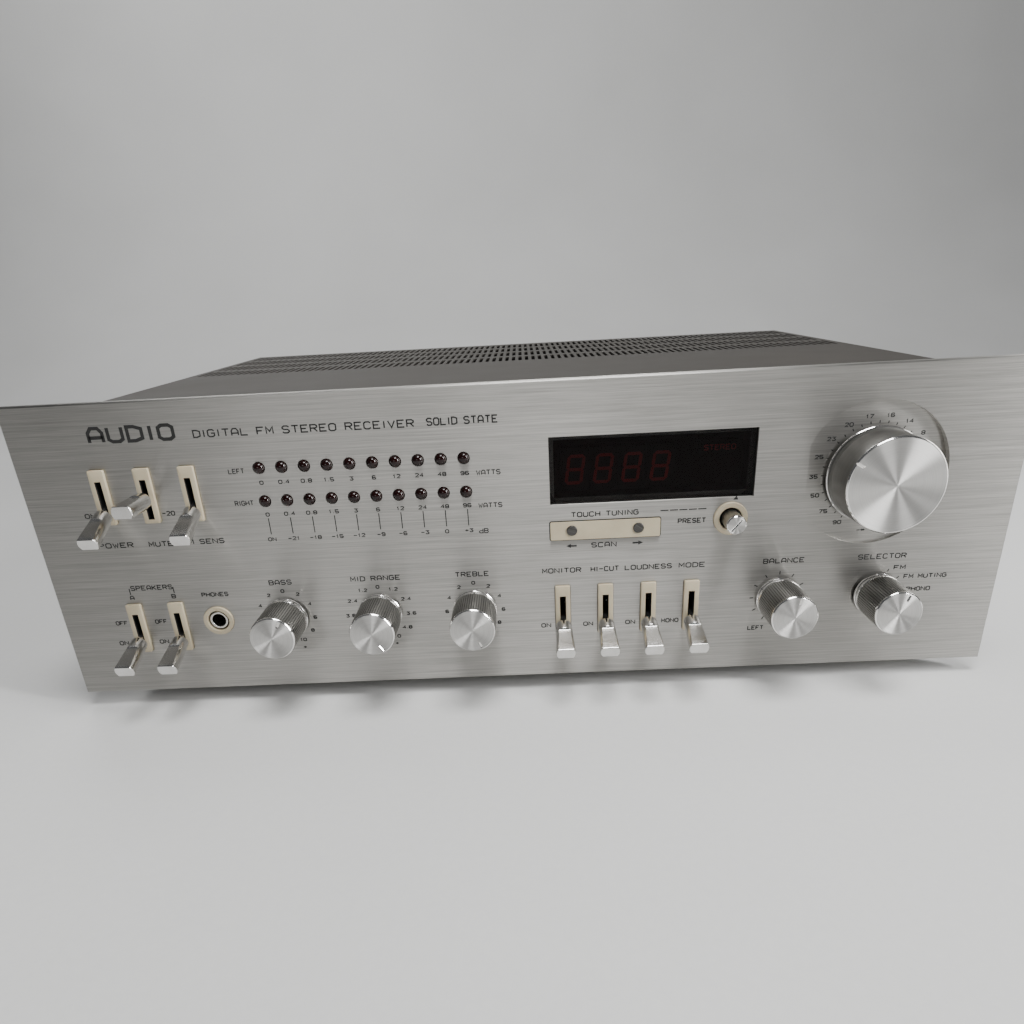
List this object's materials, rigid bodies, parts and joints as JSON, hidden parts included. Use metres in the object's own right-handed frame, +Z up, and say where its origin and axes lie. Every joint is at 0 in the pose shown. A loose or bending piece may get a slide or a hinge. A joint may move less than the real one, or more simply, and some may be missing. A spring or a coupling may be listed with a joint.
{
  "type": "stereo receiver",
  "caption": "Solid-state FM stereo receiver with an aluminium fascia, bat-lever switches, turning knobs, lamp power meters, a digital display window and a slotted steel cover.",
  "frame": {"origin": "centre of the bounding box in plan, at the table the feet stand on", "axes": "+X to the user's right along the fascia, +Y away from the user, +Z up; controls face -Y"},
  "size_m": [0.44, 0.308, 0.148],
  "materials": {
    "fascia_aluminium": "brushed",
    "sheet_steel": "zinc plated",
    "cover_paint": "satin bronze-grey paint",
    "cream_plastic": "satin",
    "lever_chrome": "bright plated",
    "knob_aluminium": "spun and knurled",
    "plated_steel": "nickel plated",
    "black_plastic": "moulded",
    "red_lens": "clear tinted",
    "smoked_acrylic": "polished",
    "circuit_board": "laminate with green resist",
    "phenolic": "pressed board",
    "lamination": "varnished lamination",
    "copper_winding": "varnished wire under tape",
    "capacitor_sleeve": "shrink sleeve",
    "tinned_steel": "tinned",
    "black_aluminium": "black anodised"
  },
  "bodies": {
    "case": {"bezel_rings": "cream_plastic", "case_screws": "plated_steel", "chassis_tray": "sheet_steel", "control_pots": "tinned_steel", "cord_bush": "black_plastic", "digit_modules": "black_plastic", "display_board": "circuit_board", "display_housing": "black_plastic", "display_window": "smoked_acrylic", "feet": "black_plastic", "filter_capacitors": "capacitor_sleeve", "front_panel": "fascia_aluminium", "fuse_holder": "black_plastic", "headphone_jack": "plated_steel", "heat_sink": "black_aluminium", "led_board": "circuit_board", "led_lamps": "red_lens", "main_board": "circuit_board", "panel_fasteners": "plated_steel", "phono_jacks": "plated_steel", "pot_nuts": "plated_steel", "preset_pot": "black_plastic", "rear_panel": "sheet_steel", "selector_switch": "tinned_steel", "sub_panel": "sheet_steel", "switch_bezels": "cream_plastic", "switch_bodies": "phenolic", "switch_pins": "plated_steel", "terminal_screws": "plated_steel", "terminal_strips": "black_plastic", "top_cover": "cover_paint", "touch_contacts": "plated_steel", "touch_plate": "cream_plastic", "transformer_coil": "copper_winding", "transformer_core": "lamination", "tuner_box": "tinned_steel"},
    "power_switch": {"power_lever": "lever_chrome"},
    "mute_switch": {"mute_lever": "lever_chrome"},
    "sens_switch": {"sens_lever": "lever_chrome"},
    "speaker_a_switch": {"speaker_a_lever": "lever_chrome"},
    "speaker_b_switch": {"speaker_b_lever": "lever_chrome"},
    "monitor_switch": {"monitor_lever": "lever_chrome"},
    "hi_cut_switch": {"hi_cut_lever": "lever_chrome"},
    "loudness_switch": {"loudness_lever": "lever_chrome"},
    "mode_switch": {"mode_lever": "lever_chrome"},
    "bass_control": {"bass_knob": "knob_aluminium", "bass_shaft": "plated_steel"},
    "mid_control": {"mid_knob": "knob_aluminium", "mid_shaft": "plated_steel"},
    "treble_control": {"treble_knob": "knob_aluminium", "treble_shaft": "plated_steel"},
    "balance_control": {"balance_knob": "knob_aluminium", "balance_shaft": "plated_steel"},
    "selector_control": {"selector_knob": "knob_aluminium", "selector_shaft": "plated_steel"},
    "volume_control": {"volume_knob": "knob_aluminium", "volume_shaft": "plated_steel"},
    "preset_control": {"preset_knob": "knob_aluminium", "preset_shaft": "plated_steel"}
  },
  "joints": [
    {"name": "power_throw", "type": "hinge", "parent": "case", "child": "power_switch", "pos_m": [-0.184, -0.118, 0.106], "axis": [-1, 0, 0], "range_deg": [0, 47]},
    {"name": "mute_throw", "type": "hinge", "parent": "case", "child": "mute_switch", "pos_m": [-0.164, -0.118, 0.106], "axis": [-1, 0, 0], "range_deg": [-23.5, 23.5]},
    {"name": "sens_throw", "type": "hinge", "parent": "case", "child": "sens_switch", "pos_m": [-0.144, -0.118, 0.106], "axis": [-1, 0, 0], "range_deg": [0, 47]},
    {"name": "speaker_a_throw", "type": "hinge", "parent": "case", "child": "speaker_a_switch", "pos_m": [-0.184, -0.118, 0.0416], "axis": [-1, 0, 0], "range_deg": [0, 37]},
    {"name": "speaker_b_throw", "type": "hinge", "parent": "case", "child": "speaker_b_switch", "pos_m": [-0.164, -0.118, 0.0416], "axis": [-1, 0, 0], "range_deg": [0, 37]},
    {"name": "monitor_throw", "type": "hinge", "parent": "case", "child": "monitor_switch", "pos_m": [0.0195, -0.118, 0.0416], "axis": [-1, 0, 0], "range_deg": [0, 37]},
    {"name": "hi_cut_throw", "type": "hinge", "parent": "case", "child": "hi_cut_switch", "pos_m": [0.0395, -0.118, 0.0416], "axis": [-1, 0, 0], "range_deg": [0, 37]},
    {"name": "loudness_throw", "type": "hinge", "parent": "case", "child": "loudness_switch", "pos_m": [0.0595, -0.118, 0.0416], "axis": [-1, 0, 0], "range_deg": [0, 37]},
    {"name": "mode_throw", "type": "hinge", "parent": "case", "child": "mode_switch", "pos_m": [0.0795, -0.118, 0.0416], "axis": [-1, 0, 0], "range_deg": [0, 37]},
    {"name": "bass_turn", "type": "hinge", "parent": "case", "child": "bass_control", "pos_m": [-0.112, -0.13, 0.045], "axis": [0, 1, 0], "range_deg": [-185, 125]},
    {"name": "mid_turn", "type": "hinge", "parent": "case", "child": "mid_control", "pos_m": [-0.067, -0.13, 0.045], "axis": [0, 1, 0], "range_deg": [-304, 6]},
    {"name": "treble_turn", "type": "hinge", "parent": "case", "child": "treble_control", "pos_m": [-0.022, -0.13, 0.045], "axis": [0, 1, 0], "range_deg": [-310, 0]},
    {"name": "balance_turn", "type": "hinge", "parent": "case", "child": "balance_control", "pos_m": [0.12, -0.13, 0.0446], "axis": [0, 1, 0], "range_deg": [-167, 143]},
    {"name": "selector_turn", "type": "hinge", "parent": "case", "child": "selector_control", "pos_m": [0.165, -0.13, 0.0446], "axis": [0, 1, 0], "range_deg": [0, 90]},
    {"name": "volume_turn", "type": "hinge", "parent": "case", "child": "volume_control", "pos_m": [0.1562, -0.13, 0.1015], "axis": [0, 1, 0], "range_deg": [-90, 210]},
    {"name": "preset_turn", "type": "hinge", "parent": "case", "child": "preset_control", "pos_m": [0.0953, -0.13, 0.0842], "axis": [0, 1, 0], "range_deg": [-150, 150]}
  ]
}
